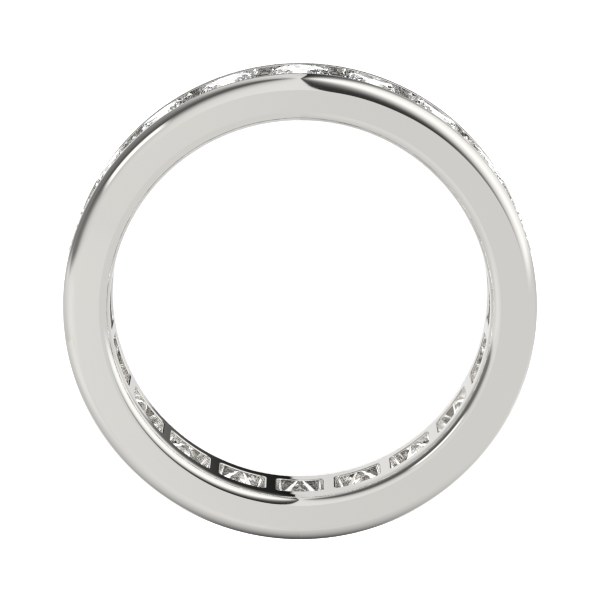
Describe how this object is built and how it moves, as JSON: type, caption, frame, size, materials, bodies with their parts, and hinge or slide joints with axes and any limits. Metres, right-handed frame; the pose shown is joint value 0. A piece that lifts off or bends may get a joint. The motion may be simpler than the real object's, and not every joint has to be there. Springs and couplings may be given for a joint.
{
  "type": "wedding ring",
  "caption": "Full eternity wedding ring: a polished white metal band with round brilliant stones channel-set all the way round it.",
  "frame": {"origin": "centre of the ring, on the side face that it rests on", "axes": "+Z along the finger axis, up when the ring lies on its side; +Y towards the first stone"},
  "size_m": [0.0216, 0.0216, 0.0044],
  "materials": {
    "white_metal": "polished white gold",
    "stone": "clear, polished facets"
  },
  "bodies": {
    "root": {"band": "white_metal", "stone_01": "stone", "stone_02": "stone", "stone_03": "stone", "stone_04": "stone", "stone_05": "stone", "stone_06": "stone", "stone_07": "stone", "stone_08": "stone", "stone_09": "stone", "stone_10": "stone", "stone_11": "stone", "stone_12": "stone", "stone_13": "stone", "stone_14": "stone", "stone_15": "stone", "stone_16": "stone", "stone_17": "stone", "stone_18": "stone", "stone_19": "stone", "stone_20": "stone"}
  },
  "joints": []
}
